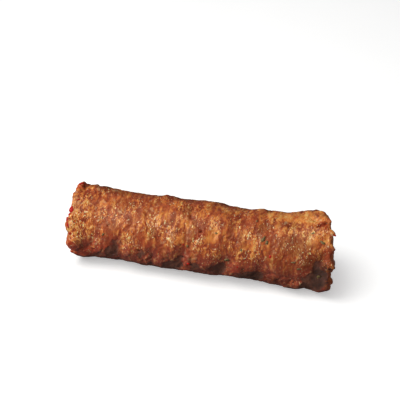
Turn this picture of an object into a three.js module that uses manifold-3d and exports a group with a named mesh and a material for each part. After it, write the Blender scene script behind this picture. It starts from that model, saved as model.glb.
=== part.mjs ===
// A fried minced meat stick, lying along X: a slightly bent roll of pressed mince with swellings,
// pleats across its sides, a flat strip that it rests on, and two torn ends with flakes on their rims.
// Units are millimetres and +Z is up. The front is -Y, and the origin is on the floor under the middle.

import * as THREE from "three";
import { mergeVertices } from "three/addons/utils/BufferGeometryUtils.js";
import { ImprovedNoise } from "three/addons/math/ImprovedNoise.js";
import Module from "manifold-3d";

// Driving dimensions of the roll.
const LENGTH = 124.4;
const RADIUS = 16.8;
const RIM_ROUNDING = 2.1;
const BEND = 2.2;
const BEND_AT = 6;

// Swellings of the roll along its length: centre, half width and added radius.
const SWELLINGS = [
  { at: -62, width: 13, rise: 1.1 },
  { at: -4, width: 20, rise: 0.9 },
  { at: 62, width: 15, rise: 2.1 },
];

// How much of each swelling has gone upwards as the roll settled, and how deep its flat strip is cut.
const SETTLE = 0.85;
const REST_SINK = 1.0;

// Pleats that show at the front: place along X, angle above the front, half width, half length and depth.
const FRONT_PLEATS = [
  { at: -50, angle: 2, width: 2.6, length: 6, depth: 1.2 },
  { at: -37, angle: -12, width: 3.4, length: 9, depth: 2.2 },
  { at: -20, angle: -14, width: 2.8, length: 8, depth: 1.5 },
  { at: -4, angle: -10, width: 3.2, length: 9, depth: 2.1 },
  { at: 17, angle: -10, width: 3.8, length: 9, depth: 2.1 },
  { at: 34, angle: -26, width: 3.4, length: 8, depth: 1.6 },
  { at: 57, angle: -2, width: 3.6, length: 9, depth: 2.2 },
  { at: -3, angle: 50, width: 2.0, length: 8, depth: 1.1 },
  { at: 24, angle: 62, width: 2.4, length: 7, depth: 0.8 },
  { at: -24, angle: 74, width: 2.6, length: 8, depth: 0.9 },
];
const PLEAT_LEAN = 0.15;

// Pleats over the rest of the roll, in rows round it, with a drawn size and place.
const BACK_PLEATS = {
  rows: [112, 152, 192, 232, 272],
  pitch: 18,
  drift: 11,
  stray: 22,
  width: [2.4, 4.2],
  length: [6, 10],
  depth: [0.8, 2.0],
};

// Places where the side is fuller, or leaner with a rise below zero: place along X, angle above the
// front, half width, half length and rise. Those near -50 degrees are where the roll has settled.
const BULGES = [
  { at: -63, angle: 108, width: 4.0, length: 4.5, rise: 3.0 },
  { at: -51, angle: 118, width: 4.0, length: 7.0, rise: 0.8 },
  { at: -34, angle: 118, width: 8.0, length: 7.0, rise: 0.5 },
  { at: -18, angle: 116, width: 4.5, length: 6.0, rise: 1.2 },
  { at: -10, angle: 122, width: 4.0, length: 7.0, rise: -0.7 },
  { at: 6, angle: 118, width: 5.0, length: 7.0, rise: 0.8 },
  { at: 17, angle: 118, width: 6.0, length: 8.0, rise: -0.9 },
  { at: 37, angle: 118, width: 3.5, length: 7.0, rise: 1.3 },
  { at: 47, angle: 118, width: 9.0, length: 9.0, rise: -1.0 },
  { at: -56, angle: -42, width: 6.0, length: 6.0, rise: 1.4 },
  { at: -20, angle: -58, width: 26.0, length: 6.0, rise: 0.6 },
  { at: 18, angle: -58, width: 9.0, length: 6.0, rise: 0.9 },
  { at: 42, angle: -56, width: 9.0, length: 6.0, rise: 2.0 },
  { at: 59, angle: -46, width: 6.5, length: 7.0, rise: 1.8 },
];

// Relief of the mince: size of a feature along X and round the roll, its height, and which
// stretch of the noise it reads.
const BROAD = { along: 13, round: 16, height: 0.9, shift: 0.37 };
const LUMPS = { along: 5.6, round: 9, height: 0.7, shift: 11.3 };
const STRANDS = { along: 3.0, round: 7, height: 0.35, shift: 5.71 };

// Relief of the torn end faces, coarse and fine, and of the ragged edge round them.
const CRAGS = [
  { size: 6.5, height: 1.6, shift: 3.7 },
  { size: 3.0, height: 1.7, shift: 9.1 },
];
const RAGGED_RIM = { size: 3.6, height: 1.5, reach: 7 };

// Where the side's sharper relief fades out towards the middle of an end face, as shares of the radius.
const SIDE_FADE = { from: 0.8, to: 1 };

// How far each end face runs out along X with each millimetre of depth and of height, and its bulge.
const LEFT_END = { across: 0.05, up: -0.02, bulge: 0.6 };
const RIGHT_END = { across: -0.38, up: 0.07, bulge: 2.0 };

// Strands fused to the side near the ends, with tips past the rims: place along X, angle above the
// front and turn from X in degrees, and their half sizes.
const RIM_STRANDS = [
  { at: 61.2, angle: 12, turn: -30 },
  { at: 62.2, angle: 42, turn: -38 },
  { at: 62.0, angle: 64, turn: -30 },
  { at: 61.6, angle: 84, turn: -34 },
  { at: 60.6, angle: 108, turn: -28 },
  { at: 60.4, angle: 200, turn: 20 },
  { at: 60.0, angle: 290, turn: 34 },
  { at: -59.8, angle: 38, turn: 24 },
  { at: -60.2, angle: -6, turn: 26 },
  { at: -59.8, angle: -38, turn: -24 },
  { at: -60.6, angle: 150, turn: -20 },
  { at: -60.4, angle: 240, turn: 28 },
];
const STRAND_SIZE = { length: 3.0, width: 1.3, thickness: 0.9 };

// Flakes fused to the rims and faces of the ends: how many, their half sizes, where they lie as
// shares of the radius, how far they sink and tip, and how uneven they are.
const RIM_FLAKES = 9;
const FACE_FLAKES = 6;
const FLAKE_SIZE = { length: [2.0, 3.6], width: [1.2, 2.0], thickness: [0.7, 1.1] };
const RIM_REACH = { from: 0.91, to: 1 };
const FACE_REACH = { from: 0.2, to: 0.7 };
const FLAKE_SINK = 1.0;
const FLAKE_TILT = 0.5;
const FLAKE_UNEVEN = { size: 0.77, share: 0.7 };

// The split on top near the right end, with its raised lip. Sizes are half sizes.
const SPLIT = { at: 56, angle: 86, length: 4.2, width: 1.6, depth: 2.6, turn: -24 };
const SPLIT_LIP = { length: 3.6, width: 0.8, thickness: 0.7 };

// Mesh density.
const ALONG = 56;
const ACROSS = 17;

const SEED = 4021;
const FULL_TURN = Math.PI * 2;
const radians = THREE.MathUtils.degToRad;
const perlin = new ImprovedNoise();

// A small seeded random number generator, from 0 to 1.
function makeRandom(seed) {
  let state = seed;
  return () => {
    state = (state + 0x6d2b79f5) | 0;
    let mixed = Math.imul(state ^ (state >>> 15), 1 | state);
    mixed = (mixed + Math.imul(mixed ^ (mixed >>> 7), 61 | mixed)) ^ mixed;
    return ((mixed ^ (mixed >>> 14)) >>> 0) / 4294967296;
  };
}

const random = makeRandom(SEED);
const between = ([low, high]) => low + (high - low) * random();

// Every pleat of the roll: those seen at the front, and rows of drawn ones round the back.
function makePleats() {
  const pleats = FRONT_PLEATS.map((pleat) => ({ ...pleat }));
  const perRow = Math.floor(LENGTH / BACK_PLEATS.pitch);
  for (const row of BACK_PLEATS.rows) {
    for (let i = 0; i < perRow; i++) {
      pleats.push({
        at: (i + 0.5) * BACK_PLEATS.pitch - LENGTH / 2 + BACK_PLEATS.drift * (random() - 0.5),
        angle: row + BACK_PLEATS.stray * (random() - 0.5),
        width: between(BACK_PLEATS.width),
        length: between(BACK_PLEATS.length),
        depth: between(BACK_PLEATS.depth),
      });
    }
  }
  return pleats;
}

const PLEATS = makePleats();

// The shortest way from one angle to another, in radians.
function turnBetween(from, to) {
  return THREE.MathUtils.euclideanModulo(to - from + Math.PI, FULL_TURN) - Math.PI;
}

const bell = (distance) => Math.exp(-distance * distance);

// Noise whose features are longer round the roll than along it. It closes on itself round the roll.
function rollNoise(x, angle, relief) {
  const { along, round, height, shift } = relief;
  const lean = PLEAT_LEAN * RADIUS * Math.sin(angle);
  const reach = RADIUS / round;
  const noise = perlin.noise(
    (x - lean) / along + shift,
    reach * Math.cos(angle) + shift,
    reach * Math.sin(angle) - shift,
  );
  return height * noise;
}

// Added radius of the roll at x: its swellings.
function swelling(x) {
  return SWELLINGS.reduce((sum, s) => sum + s.rise * bell((x - s.at) / s.width), 0);
}

// How far a point of the side belongs to a place on it, from 0 to 1.
function nearness(x, angle, { at, angle: middle, width, length }, lean) {
  const round = RADIUS * turnBetween(radians(middle), angle);
  return bell((x - at - lean * round) / width) * bell(round / length);
}

// Depth of the pleats at a point of the side.
function pleatDepth(x, angle) {
  return PLEATS.reduce((sum, pleat) => sum + pleat.depth * nearness(x, angle, pleat, PLEAT_LEAN), 0);
}

// Height of the fuller places at a point of the side.
function bulgeHeight(x, angle) {
  return BULGES.reduce((sum, bulge) => sum + bulge.rise * nearness(x, angle, bulge, 0), 0);
}

// Height of the low relief that runs from the side onto the end faces.
function broadRelief(x, angle) {
  return swelling(x) + rollNoise(x, angle, BROAD);
}

// Height of the sharper relief, which belongs to the side alone.
function fineRelief(x, angle) {
  const mince = rollNoise(x, angle, LUMPS) + rollNoise(x, angle, STRANDS);
  return mince + bulgeHeight(x, angle) - pleatDepth(x, angle);
}

// Height of the relief on an end face: torn crags over a bulge.
function endRelief(point, end) {
  const side = Math.sign(point.x);
  const share = Math.hypot(point.y, point.z) / RADIUS;
  const bulge = end.bulge * (1 - share * share);
  return CRAGS.reduce(
    (sum, { size, height, shift }) =>
      sum + height * perlin.noise(point.y / size, point.z / size, shift * side),
    bulge,
  );
}

// Height of the ragged edge that each torn end has.
function rimRelief(point) {
  const { size, height, reach } = RAGGED_RIM;
  const fromEnd = (LENGTH / 2 - Math.abs(point.x)) / reach;
  return height * bell(fromEnd) * perlin.noise(point.x / size, point.y / size, point.z / size);
}

// Turns a point of a square section, from -1 to 1 each way, into a point of a round one.
function squareToRound(across, up) {
  const share = Math.max(Math.abs(across), Math.abs(up));
  if (share === 0) return [0, 0];
  const quarter = Math.PI / 4;
  const turned =
    Math.abs(across) >= Math.abs(up)
      ? quarter * (up / across) + (across > 0 ? 0 : Math.PI)
      : 2 * quarter * Math.sign(up) - quarter * (across / up);
  return [share * Math.cos(turned), share * Math.sin(turned)];
}

// Rounds the rim of the plain roll. Gives the point's new place and the way that its skin faces.
function roundRim(point) {
  const radius = Math.hypot(point.y, point.z);
  const inner = RADIUS - RIM_ROUNDING;
  const inward = radius > inner ? inner / radius : 1;
  const straight = LENGTH / 2 - RIM_ROUNDING;
  const core = new THREE.Vector3(
    THREE.MathUtils.clamp(point.x, -straight, straight),
    point.y * inward,
    point.z * inward,
  );
  const normal = point.clone().sub(core).normalize();
  return { place: core.addScaledVector(normal, RIM_ROUNDING), normal };
}

// Moves a point of the plain, sharp roll to its place on the finished one.
function shapePoint(point) {
  const { place, normal } = roundRim(point);
  const angle = Math.atan2(point.z, -point.y);
  const share = Math.hypot(place.y, place.z) / RADIUS;
  const end = point.x > 0 ? RIGHT_END : LEFT_END;
  const onSide = THREE.MathUtils.smoothstep(share, SIDE_FADE.from, SIDE_FADE.to);
  const nearEnd = THREE.MathUtils.smoothstep(Math.abs(place.x), LENGTH / 4, LENGTH / 2);
  const sharp = fineRelief(place.x, angle) + rimRelief(place);
  const outward = share * broadRelief(place.x, angle) + onSide * sharp;
  place.x += normal.x * endRelief(place, end);
  place.y -= outward * Math.cos(angle);
  place.z += outward * Math.sin(angle) + SETTLE * swelling(place.x);
  place.x += nearEnd * (end.across * place.y + end.up * place.z);
  place.y -= BEND * (bell((place.x - BEND_AT) / (LENGTH / 2)) - 0.5);
  return place;
}

// The roll without its flakes: a box of even squares, with its section made round.
function rollGeometry() {
  const geometry = new THREE.BoxGeometry(LENGTH, 2, 2, ALONG, ACROSS, ACROSS);
  const position = geometry.attributes.position;
  for (let i = 0; i < position.count; i++) {
    const [across, up] = squareToRound(position.getY(i), position.getZ(i));
    const point = new THREE.Vector3(position.getX(i), RADIUS * across, RADIUS * up);
    const shaped = shapePoint(point);
    position.setXYZ(i, shaped.x, shaped.y, shaped.z);
  }
  return geometry;
}

// A small faceted grain of given half sizes.
function grainGeometry(length, width, thickness) {
  return new THREE.OctahedronGeometry(1, 1).scale(length, width, thickness);
}

// A flake of torn meat: a flat grain with uneven sides, tipped a little from the way it faces.
function flakeGeometry(facing) {
  const { length, width, thickness } = FLAKE_SIZE;
  const flake = grainGeometry(1, 1, 1);
  const position = flake.attributes.position;
  const { size, share } = FLAKE_UNEVEN;
  const drawn = 100 * random();
  for (let i = 0; i < position.count; i++) {
    const point = new THREE.Vector3().fromBufferAttribute(position, i);
    const noise = perlin.noise(point.x / size + drawn, point.y / size, point.z / size);
    point.multiplyScalar(1 + share * noise);
    position.setXYZ(i, point.x, point.y, point.z);
  }
  flake.scale(between(length), between(width), between(thickness));
  flake.rotateZ(FULL_TURN * random());
  flake.rotateX(FLAKE_TILT * (2 * random() - 1));
  flake.rotateY(FLAKE_TILT * (2 * random() - 1));
  return flake.applyQuaternion(
    new THREE.Quaternion().setFromUnitVectors(new THREE.Vector3(0, 0, 1), facing),
  );
}

// One flake fused to the end that faces side, at an angle and within a range of distance from
// the middle line.
function placeFlake(side, angle, range) {
  const reach = RADIUS * between([range.from, range.to]);
  const point = new THREE.Vector3(side * (LENGTH / 2), -reach * Math.cos(angle), reach * Math.sin(angle));
  const { normal } = roundRim(point);
  const on = shapePoint(point).addScaledVector(normal, -FLAKE_SINK);
  return flakeGeometry(normal).translate(on.x, on.y, on.z);
}

// The flakes of one end: round its rim, and scattered over its face.
function endFlakes(side) {
  const flakes = [];
  for (let i = 0; i < RIM_FLAKES; i++) {
    const angle = ((i + 0.9 * random()) / RIM_FLAKES) * FULL_TURN;
    flakes.push(placeFlake(side, angle, RIM_REACH));
  }
  for (let i = 0; i < FACE_FLAKES; i++) {
    const angle = ((i + random()) / FACE_FLAKES) * FULL_TURN;
    flakes.push(placeFlake(side, angle, FACE_REACH));
  }
  return flakes;
}

// Lays a grain on the skin at a place of the side, its length turned by so many degrees from X.
function layOnSide(grain, at, angleDegrees, turnDegrees, shift) {
  const angle = radians(angleDegrees);
  const on = shapePoint(new THREE.Vector3(at, -RADIUS * Math.cos(angle), RADIUS * Math.sin(angle)));
  grain.translate(0, shift, 0);
  grain.rotateZ(radians(turnDegrees));
  grain.rotateX(Math.PI / 2 - angle);
  return grain.translate(on.x, on.y, on.z);
}

// A closed geometry as a manifold-3d solid.
function toSolid(wasm, geometry) {
  const bare = geometry.index ? geometry.toNonIndexed() : geometry.clone();
  bare.deleteAttribute("normal");
  bare.deleteAttribute("uv");
  const merged = mergeVertices(bare, 1e-4);
  return new wasm.Manifold(
    new wasm.Mesh({
      numProp: 3,
      vertProperties: new Float32Array(merged.attributes.position.array),
      triVerts: new Uint32Array(merged.index.array),
    }),
  );
}

// A manifold-3d solid as a geometry.
function toGeometry(solid) {
  const mesh = solid.getMesh();
  const positions = new Float32Array(mesh.numVert * 3);
  for (let i = 0; i < mesh.numVert; i++) {
    const from = i * mesh.numProp;
    positions.set(mesh.vertProperties.subarray(from, from + 3), i * 3);
  }
  const geometry = new THREE.BufferGeometry();
  geometry.setAttribute("position", new THREE.BufferAttribute(positions, 3));
  geometry.setIndex(new THREE.BufferAttribute(new Uint32Array(mesh.triVerts), 1));
  return geometry;
}

// Sets the roll on the floor, centred over the origin, and cuts a flat strip under it.
function restOnFloor(wasm, solid) {
  const box = solid.boundingBox();
  const middle = [0, 1, 2].map((i) => (box.min[i] + box.max[i]) / 2);
  const placed = solid.translate([-middle[0], -middle[1], -box.min[2] - REST_SINK]);
  const slab = new THREE.BoxGeometry(3 * LENGTH, 3 * LENGTH, LENGTH);
  slab.translate(0, 0, -LENGTH / 2);
  return placed.subtract(toSolid(wasm, slab));
}

// The largest body of a solid, without the scraps that cutting leaves loose.
function withoutScraps(solid) {
  return solid.decompose().sort((a, b) => b.volume() - a.volume())[0];
}

// The strands whose tips stand past the rims.
function rimStrands() {
  const { length, width, thickness } = STRAND_SIZE;
  return RIM_STRANDS.map(({ at, angle, turn }) => {
    return layOnSide(grainGeometry(length, width, thickness), at, angle, turn, 0);
  });
}

// The lip and the cleft of the split.
function splitShapes() {
  const { at, angle, length, width, depth, turn } = SPLIT;
  const lip = grainGeometry(SPLIT_LIP.length, SPLIT_LIP.width, SPLIT_LIP.thickness);
  const cleft = new THREE.OctahedronGeometry(1, 0).scale(length, width, depth);
  return [layOnSide(lip, at, angle, turn, width), layOnSide(cleft, at, angle, turn, 0)];
}

async function makeStick() {
  const wasm = await Module();
  wasm.setup();
  const [lip, cleft] = splitShapes();
  const parts = [rollGeometry(), ...[-1, 1].flatMap(endFlakes), ...rimStrands(), lip];
  const roll = wasm.Manifold.union(parts.map((geometry) => toSolid(wasm, geometry)));
  const split = roll.subtract(toSolid(wasm, cleft));
  const geometry = toGeometry(withoutScraps(restOnFloor(wasm, split)));
  geometry.computeVertexNormals();
  const crust = new THREE.MeshStandardMaterial({ color: 0xa0562f, roughness: 0.45, metalness: 0 });
  const stick = new THREE.Mesh(geometry, crust);
  stick.name = "meat_stick";
  return stick;
}

const root = new THREE.Group();
root.add(await makeStick());

export default root;
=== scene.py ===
"""Dresses the minced meat stick: a fine skin of mince strands over its solid form, with herb and pepper
flecks, on a pale floor in soft light from above. Units are metres, and +Z is up."""

import itertools
import math

import bmesh
import bpy
import numpy as np
from mathutils import Matrix, Vector
from mathutils.bvhtree import BVHTree


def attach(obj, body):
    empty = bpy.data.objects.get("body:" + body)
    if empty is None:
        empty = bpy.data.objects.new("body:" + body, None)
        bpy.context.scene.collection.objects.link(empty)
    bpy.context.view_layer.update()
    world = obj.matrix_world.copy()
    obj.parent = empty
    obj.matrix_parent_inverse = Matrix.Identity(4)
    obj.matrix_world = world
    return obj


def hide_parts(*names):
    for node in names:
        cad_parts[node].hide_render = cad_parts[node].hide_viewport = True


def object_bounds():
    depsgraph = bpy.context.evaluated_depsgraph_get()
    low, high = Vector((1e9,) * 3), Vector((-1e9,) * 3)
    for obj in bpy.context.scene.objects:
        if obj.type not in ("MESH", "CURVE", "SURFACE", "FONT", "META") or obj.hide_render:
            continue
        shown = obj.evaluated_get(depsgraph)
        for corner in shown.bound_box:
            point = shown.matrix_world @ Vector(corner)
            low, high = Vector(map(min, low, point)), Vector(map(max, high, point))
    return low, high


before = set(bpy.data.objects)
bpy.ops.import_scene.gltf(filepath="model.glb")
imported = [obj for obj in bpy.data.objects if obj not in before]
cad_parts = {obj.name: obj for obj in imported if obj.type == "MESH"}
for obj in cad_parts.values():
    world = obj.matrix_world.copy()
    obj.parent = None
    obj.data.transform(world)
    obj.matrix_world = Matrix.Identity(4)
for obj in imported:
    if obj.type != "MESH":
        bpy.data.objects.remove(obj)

CAD_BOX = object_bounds()
MM = 0.001
SEED = 4021

# Camera: it looks down on the front, turned a little to the right. Its aim is moved, across and up in the
# picture, from a point at LOOK_HEIGHT over the middle of the underside.
CAMERA_AZIMUTH = 12.6
CAMERA_ELEVATION = 35.0
CAMERA_DISTANCE = 0.70
CAMERA_LENS = 127.0
CAMERA_SENSOR = 36.0
CAMERA_CLIP = (0.01, 20)
CAMERA_AIM = (-2.24 * MM, 18.18 * MM)
LOOK_HEIGHT = 17 * MM
PICTURE = 400

# Lights: direction seen from the stick in degrees, size in metres and power in watts.
KEY = {"azimuth": -52, "elevation": 31, "size": 0.20, "power": 4.05}
TOP = {"azimuth": -70, "elevation": 64, "size": 0.60, "power": 2.7}
SPREAD = {"azimuth": -22, "elevation": 60, "size": 0.9, "power": 3.2}
FILL = {"azimuth": 40, "elevation": 12, "size": 0.8, "power": 0.75}
LIGHT_DISTANCE = 0.75
LIGHT_AIM = (0, 0, 0.015)
LAMP_COLOUR = (1.0, 0.99, 0.96)
ROOM_COLOUR = (0.95, 0.99, 1.08, 1)
ROOM_LIGHT = 0.11

# Floor: half its side, the size of its faint grain, its colours, and a glow that keeps it light.
FLOOR_HALF = 3.0
FLOOR_GRAIN = 40 * MM
FLOOR_STOPS = [(0.0, (246, 246, 246)), (1.0, (250, 250, 250))]
FLOOR_GLOW = 0.41

# Seeds of the noises.
SEEDS = {
    "swirl": (31, 32), "ripple": (33, 34), "facing": (51, 53), "lumps": 52, "crest": 54, "torn": 55,
    "ragged": (61, 62), "blob": 71, "shreds": 100, "grains": 300, "fine grains": 400,
}

# Mesh of the skin: how near points are welded, its squares, rounds of smoothing at the ends' rims, between
# them and for the broad form, where in from the ends that grows, and how near the floor it stays flat.
WELD = 1e-6
VOXEL = 0.48 * MM
RIM_ROUNDS = 2
SMOOTH_ROUNDS = 14
BROAD_ROUNDS = 56
RIM_REACH = (2.5 * MM, 6 * MM)
FOOT_HEIGHT = 0.4 * VOXEL

# Middle line of the roll: degree of its curve, and the part of the length that gives the radius.
LINE_DEGREE = 4
INNER_PART = 0.8

# Relief of the mince: height on the sides and on the torn ends, the level from 0 to 1 that stays in place,
# how far all of it stands out, and how much flatter it is under the painted shade.
RELIEF = 0.22 * MM
TORN_RELIEF = 0.55 * MM
RELIEF_LEVEL = 0.35
STAND_OUT = 0.30 * MM
DARK_FLATTER = 0.45

# Hollows sink under the painted shade, lobes rise between them, and torn ends sink in broad dents.
DARK_SINK = 0.30 * MM
LOBE_RISE = 0.7 * MM
TORN_SINK = 0.9 * MM
TORN_DENT = 4.5 * MM
TORN_DENT_EDGE = (-0.15, 0.45)

# Lumps of pressed mince: size along the roll and round it, lean, width of the seams between, height, and
# how that is shared out between the swelling, a level for all and the seams.
LUMP = (2.7 * MM, 9.0 * MM)
LUMP_LEAN = 0.12
LUMP_SEAM = 0.32
LUMP_RISE = 0.16 * MM
SWELL_SHARE = 0.6
LEVEL_SHARE = 0.3
SEAM_SHARE = 0.75

# Shreds of mince: spacing, half widths, half lengths and heights, and how they lean and stray from going
# round the roll.
SHREDS = {
    "cell": 1.8 * MM, "width": (0.55 * MM, 1.0 * MM), "length": (1.1 * MM, 2.6 * MM), "height": (0.4, 1.0),
}
SHRED_LEAN = 0.25
SHRED_STRAY = 0.95

# Grains of mince on the torn ends: sizes, share of the larger ones, how grainy the sides are next to the
# ends, and where in from the ends that fades.
GRAIN = 1.7 * MM
FINE_GRAIN = 1.0 * MM
GRAIN_SHARE = 0.6
GRAINY_RIM = 0.6
GRAINY_REACH = (4 * MM, 16 * MM)

# Bumps packed one to a cell, in parts of the cell: where their centres lie, their reach and their height.
BUMP_CENTRE = (0.15, 0.85)
BUMP_REACH = (0.62, 0.92)
BUMP_HEIGHT = (0.5, 1.0)

# Noises that stir the mince, and that fray the outlines of what is drawn on it: size and reach, or reach
# alone.
SWIRL = (7 * MM, 1.6 * MM)
RIPPLE = (2.0 * MM, 0.3 * MM)
STIR = 0.5 * MM
RAGGED = (2.2 * MM, 0.9 * MM)
WAVY = 0.5 * MM

# A side is torn end where it faces this far along X, and gets painted shade where it faces this far down.
# Noises of two sizes, each with its weight, fray that shade's edge, lobes, lumps and hollows move it, and
# torn ends get less of it. What is low faces down or level, and gets a painted bluish tint of the fill in
# shade.
TORN_FACING = (0.45, 0.85)
DARK_FACING = (-0.80, -0.14)
DARK_NOISES = ((5 * MM, 0.12), (1.8 * MM, 0.08))
DARK_LOBES = 0.60
DARK_LUMPS = 0.10
TORN_LESS_SHADE = 0.8
LOW_FACING = (-0.25, 0.45)

# The crest and, less so, the back get painted shade in deep brown: they face away from the lit side. Golden
# places there get less of it.
LIT_SIDE = (0.0, -0.81, 0.58)
CREST_EDGE = (0.0, 0.40)
CREST_NOISE = (4 * MM, 0.12)
BACK_LESS = 0.5
BACK_EDGE = (-0.1, 0.6)
GOLDEN_LESS = 0.7

# Edges of patches, in parts of their half sizes, and of strokes in parts of their half widths, and how much
# strokes narrow to their ends.
PATCH_EDGE = (0.55, 1.25)
HOLLOW_EDGE = (0.70, 1.15)
LOBE_EDGE = (0.70, 1.20)
STROKE_EDGE = (0.3, 1.3)
STROKE_TAPER = 0.6

# What the photograph shows on the stick, from left to right: the pixel x and y where it shows, half sizes
# along the roll and round it in millimetres, and how strong it is.
# Smooth hollows along the lower front, which get painted shade.
HOLLOWS = [
    (86, 242, 2.4, 3.6, 0.45), (92, 252, 6, 2.4, 0.5), (111.5, 250, 3.6, 6, 0.95),
    (113, 243.5, 1.6, 3, 0.8), (141, 254, 1.8, 3.6, 0.9), (155, 254.5, 1.8, 3, 0.5),
    (172, 265, 5.4, 4.6, 1), (180, 258, 2, 3, 0.9), (195, 266, 2.4, 3.6, 0.6), (219, 268, 3.4, 5.6, 1),
    (250, 276, 6.5, 4.6, 0.9), (315, 280, 7.6, 8, 1.3), (320, 267, 4.6, 7, 0.9),
]
# Lobes of mince that stand out, most of them between the hollows, with less painted shade.
LOBES = [
    (68, 238, 2.6, 5, 0.8), (72, 245, 4, 5, 1.2), (88, 252, 5, 2.6, 0.35), (98, 246, 2.4, 4.6, 0.8),
    (127, 251, 2.2, 4.6, 0.9), (148, 258, 1.8, 4, 0.8), (161, 198, 4, 4, 0.5), (163.5, 254.5, 2, 2.8, 0.7),
    (181, 267, 2.6, 1.6, 0.7), (187.5, 261, 1.5, 5.2, 1.2), (206, 264, 2.2, 5.4, 0.9),
    (236, 268, 3.4, 3.8, 1), (272, 277, 2.6, 2.8, 0.65), (284, 280, 2.4, 3, 0.75),
    (296, 283, 2.4, 2.6, 0.75),
]
# Places where the facets and dents of the solid are smoothed away.
SOFTENED = [
    (68, 244, 4, 6, 0.9), (79, 242, 5, 9, 1), (84, 250, 6, 4, 0.7),
]
# Places where the skin stands out further, and how far in millimetres.
PUFFS = [
    (78, 187, 2, 3, 0.6), (93, 188, 3, 3, 1.1), (101, 189, 4, 3, 0.5), (117, 193, 6, 5, 0.8),
    (152, 262, 4, 4, 0.5), (162, 198, 3, 4, 0.7), (184, 266, 5, 4, 0.5), (227, 272, 3, 4, 0.6),
    (250, 210, 4, 4, 0.5), (257, 277, 5, 4, 0.8), (268, 213, 4, 4, 0.9), (293, 285, 6, 4, 0.8),
    (334, 225, 3, 4, 1), (336, 245, 3, 6, 0.9),
]
# Golden, browner, wet and redder places.
GOLDEN = [
    (73, 222, 4, 8, 0.5), (76, 238, 4, 5, 0.6), (78, 211, 4, 6, 0.8), (79, 187, 3, 3, 0.7),
    (84, 188, 4, 3, 0.6), (86, 226, 3, 3, 0.5), (92, 231, 3, 4, 0.5), (98, 243, 4, 4, 0.5),
    (122, 240, 3, 4, 0.5), (122, 248, 2.2, 4, 0.5), (132, 230, 2.4, 4, 0.6), (149, 202, 3, 3, 0.4),
    (157, 222, 3, 3.4, 0.5), (176, 240, 2.6, 2.6, 0.5), (182, 237, 2.4, 4, 0.6),
    (190.5, 227, 2.4, 2.4, 0.7), (202, 241, 2.4, 3, 0.7), (207, 211, 3, 2.6, 0.3), (213, 236, 3, 4.6, 1),
    (222, 218, 2.6, 3, 0.6), (222, 254, 2.4, 3, 0.6), (234, 212, 9, 3, 0.3), (241, 221, 2.6, 2.6, 0.5),
    (252, 243, 2.6, 4, 0.8), (262, 214, 3, 2.4, 0.4), (274, 216, 6, 3.4, 0.8), (282, 217, 3.6, 3, 0.9),
    (288, 215, 10, 3.6, 1), (292, 229, 3, 4, 0.8), (296, 220, 12, 2.6, 1.4), (303, 219, 3.6, 3.4, 0.9),
    (306, 216, 7, 3.6, 1), (311, 239, 2, 3.4, 1.9), (312, 221, 4, 3, 0.7), (318, 214, 6, 4.4, 0.8),
    (318, 236, 2.4, 2.4, 0.8), (326, 220, 3, 5, 0.6), (331, 240, 2, 8, 0.7),
]
# Browner places, partly browning and partly painted shade where the stick lies in shade.
BROWNED_AND_SHADED = [
    (74, 208, 2.4, 4, 0.5), (100, 188, 6, 2.6, 0.6), (102, 190, 3, 2.6, 0.4), (106, 188, 2.8, 2.6, 1),
    (112, 227, 3, 4, 0.4), (119, 190, 8, 3, 0.7), (122, 211, 3, 3, 0.4), (123, 202, 3, 4, 0.45),
    (131, 205, 1.8, 2.4, 0.7), (132, 220, 2.2, 2.6, 0.3), (151, 214, 4.4, 4, 0.4), (152, 225, 2, 4.4, 0.4),
    (152, 234, 2, 4, 0.7), (158, 203, 2.8, 3.4, 0.6), (160, 196, 5, 3.4, 0.7), (162, 202, 3, 4, 0.35),
    (163, 253, 2.6, 3.4, 0.4), (172, 221, 1.8, 4, 0.5), (172, 265, 5.4, 4.6, 0.45), (173, 237, 2, 5, 0.5),
    (174, 199, 4, 3.4, 0.7), (187, 210, 3.4, 4, 0.7), (192, 212, 3, 3, 0.3), (192, 238, 2, 5, 0.6),
    (193, 226, 1.8, 6, 0.5), (212, 207, 2.4, 4, 0.4), (224, 247, 2, 3, 0.3), (225, 205, 4, 5, 0.5),
    (232, 232, 1.8, 5, 0.45), (241, 206, 5, 4, 0.4), (242, 236, 2, 4, 0.4), (242, 246, 2, 3, 0.4),
    (252, 214, 3, 2, 0.2), (252, 276, 7, 4, 0.85), (262, 229, 2.4, 4.4, 0.7), (272, 226, 1.8, 4, 0.4),
    (276, 259, 5, 3.6, 0.5), (276, 280, 7, 3, 0.6), (282, 247, 2.4, 3.4, 0.4), (285, 268, 5, 5, 0.45),
    (290, 226, 7, 2.6, 0.5), (290, 252, 3, 3, 0.35), (292, 243, 2.4, 5, 0.6), (295, 247, 9, 5, 0.75),
    (298, 287, 7, 3, 0.6), (301, 245, 4, 6, 0.5), (302, 249, 2.4, 3, 0.35), (304, 237, 4, 3.4, 0.35),
    (311, 263, 5, 5, 0.8), (318, 256, 3.4, 4, 0.6), (321, 275, 5, 10, 1.08), (332, 246, 2.4, 4, 0.4),
]
WET = [
    (69, 232, 1.6, 4, 1), (72, 240, 4, 6, 0.8), (78, 222, 4, 5, 0.6), (78, 234, 4, 5, 0.6),
    (79, 246, 4, 4, 0.4), (82, 205, 5, 8, 0.5), (90, 233, 4, 4, 0.4), (95, 215, 5, 6, 0.4),
    (157, 226, 4, 5, 0.15), (190, 226, 3.4, 3.4, 0.4), (199, 240, 3, 4.2, 1), (218, 226, 3, 4, 0.3),
    (290, 228, 4, 4, 0.3), (308, 234, 3.4, 4, 0.6), (314, 220, 4, 3, 0.3), (322, 232, 3, 3, 0.5),
]
REDDENED = [
    (70, 245, 3.6, 5, 0.95), (76, 251, 4.6, 2.6, 1.1), (81, 183, 2.6, 2, 0.7), (86, 184, 3.4, 3, 0.9),
    (88, 250, 6, 4, 0.55), (98, 245, 7, 3, 0.4), (188, 264, 1.4, 1.2, 1), (199, 240, 3.4, 4.2, 0.3),
    (236, 270, 3, 3, 0.5), (322.5, 226, 2.6, 1.6, 0.6), (333, 252, 1.4, 6, 0.4),
]
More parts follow.
